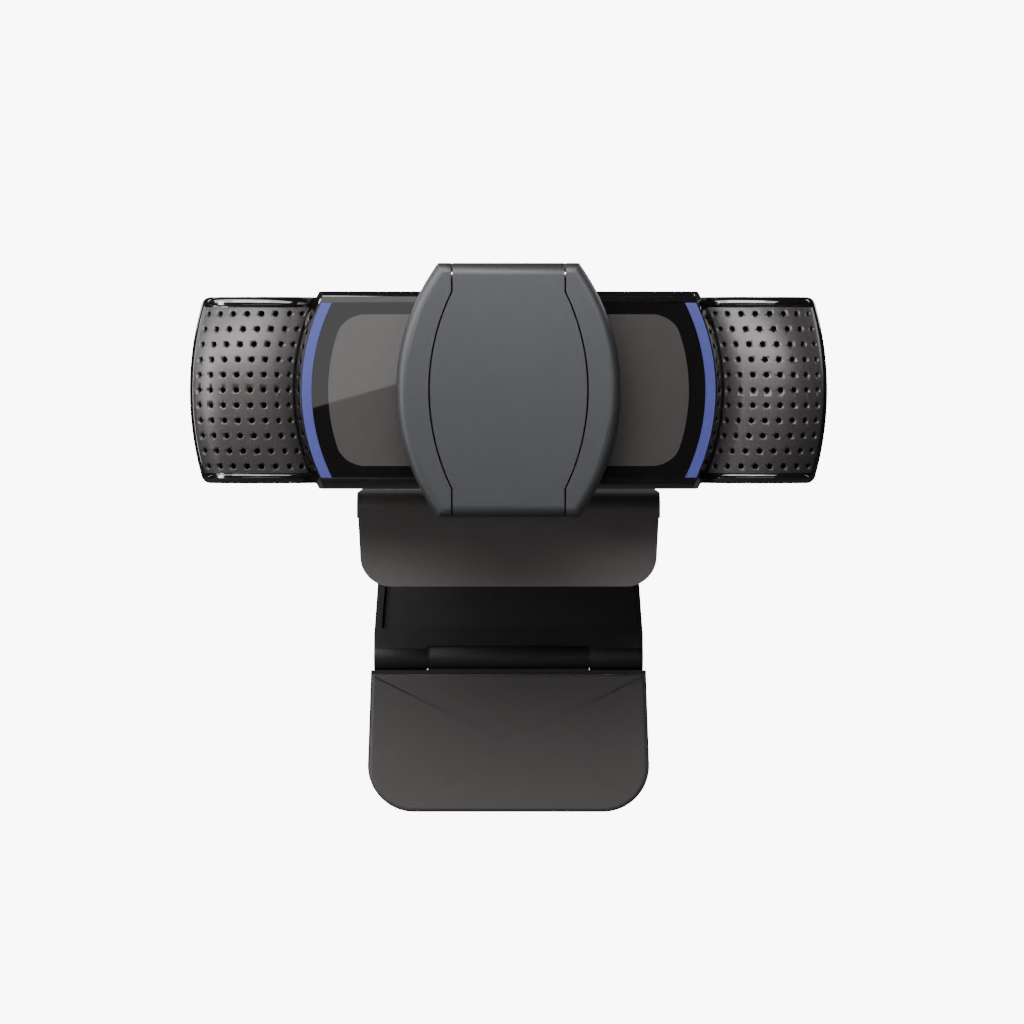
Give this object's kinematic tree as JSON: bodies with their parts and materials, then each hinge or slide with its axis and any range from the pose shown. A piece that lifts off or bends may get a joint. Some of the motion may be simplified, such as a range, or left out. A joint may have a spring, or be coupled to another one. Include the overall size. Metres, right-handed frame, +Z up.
{
  "type": "webcam",
  "caption": "Wide webcam head with two perforated microphone grilles and a flip-up lens shutter, tilting on a folding monitor clip.",
  "frame": {"origin": "middle of the rubber rest pad's underside, where the clip's top plate sits on the top edge of a monitor", "axes": "+Z up, the camera looks along -Y, +X to the right as seen from in front of the camera"},
  "size_m": [0.094, 0.0777, 0.0856],
  "materials": {
    "gloss_black": "gloss",
    "satin_black": "satin",
    "window_black": "gloss",
    "inlay_grey": "satin",
    "tape": "matte",
    "light_blue": "satin",
    "grille_grey": "satin",
    "cloth": "matte",
    "lens_glass": "gloss",
    "actuator_steel": "satin",
    "filter_glass": "gloss",
    "chip_black": "matte",
    "board_green": "satin",
    "connector_white": "satin",
    "led_white": "satin",
    "microphone_metal": "satin",
    "boot_rubber": "matte",
    "ribbon_amber": "satin",
    "screw_steel": "satin",
    "pin_steel": "satin",
    "shutter_grey": "satin",
    "coil_copper": "satin",
    "washer_nylon": "satin",
    "soft_touch": "satin",
    "pad_rubber": "matte",
    "cover_black": "satin",
    "arm_black": "satin",
    "washer_black": "matte",
    "insert_brass": "satin",
    "foot_rubber": "matte"
  },
  "bodies": {
    "clip_head": {"clip_plate": "soft_touch", "tilt_neck": "satin_black", "neck_screws": "screw_steel", "tilt_washers": "washer_nylon", "arm_pin": "pin_steel", "rest_pad": "pad_rubber", "lip_pad": "pad_rubber"},
    "head": {"front_frame": "gloss_black", "rear_shell": "satin_black", "front_window": "window_black", "window_inlay": "inlay_grey", "window_tape": "tape", "light_guide_left": "light_blue", "light_guide_right": "light_blue", "grille_left": "grille_grey", "grille_right": "grille_grey", "grille_cloth_left": "cloth", "grille_cloth_right": "cloth", "lens_ring": "gloss_black", "lens_cover": "lens_glass", "focus_actuator": "actuator_steel", "infrared_filter": "filter_glass", "image_sensor": "chip_black", "main_board": "board_green", "image_processor": "chip_black", "cable_header": "connector_white", "status_leds": "led_white", "mic_board_left": "board_green", "mic_board_right": "board_green", "microphone_left": "microphone_metal", "microphone_right": "microphone_metal", "mic_boot_left": "boot_rubber", "mic_boot_right": "boot_rubber", "mic_ribbons": "ribbon_amber", "housing_screws": "screw_steel", "screw_caps": "satin_black", "cable_gland": "boot_rubber", "tilt_pin": "pin_steel", "shutter_frame": "shutter_grey", "shutter_grips": "boot_rubber"},
    "shutter_door": {"shutter_door": "shutter_grey", "shutter_pin": "pin_steel"},
    "lens_carrier": {"lens_barrel": "chip_black", "front_lens": "lens_glass", "rear_lens": "lens_glass", "focus_coil": "coil_copper"},
    "clip_arm": {"arm_shell": "arm_black", "arm_cover": "cover_black", "tripod_insert": "insert_brass", "foot_pin": "pin_steel", "arm_washers": "washer_black"},
    "clip_foot": {"foot_shell": "arm_black", "foot_pad": "foot_rubber", "foot_washers": "washer_black"}
  },
  "joints": [
    {"name": "head_tilt", "type": "hinge", "parent": "clip_head", "child": "head", "pos_m": [0, -0.025, 0.0145], "axis": [-1, 0, 0], "range_deg": [-20, 30]},
    {"name": "arm_fold", "type": "hinge", "parent": "clip_head", "child": "clip_arm", "pos_m": [0, 0.0288, -0.0028], "axis": [1, 0, 0], "range_deg": [-70.4, 60]},
    {"name": "foot_fold", "type": "hinge", "parent": "clip_arm", "child": "clip_foot", "pos_m": [0, 0.02182, -0.02239], "axis": [1, 0, 0], "range_deg": [-19.6, 40]},
    {"name": "shutter_flip", "type": "hinge", "parent": "head", "child": "shutter_door", "pos_m": [0, -0.0449, 0.0368], "axis": [-1, 0, 0], "range_deg": [0, 180]},
    {"name": "focus_slide", "type": "slide", "parent": "head", "child": "lens_carrier", "axis": [0, -1, 0], "range_m": [0, 0.00035], "stiffness_N_per_m": 60}
  ]
}
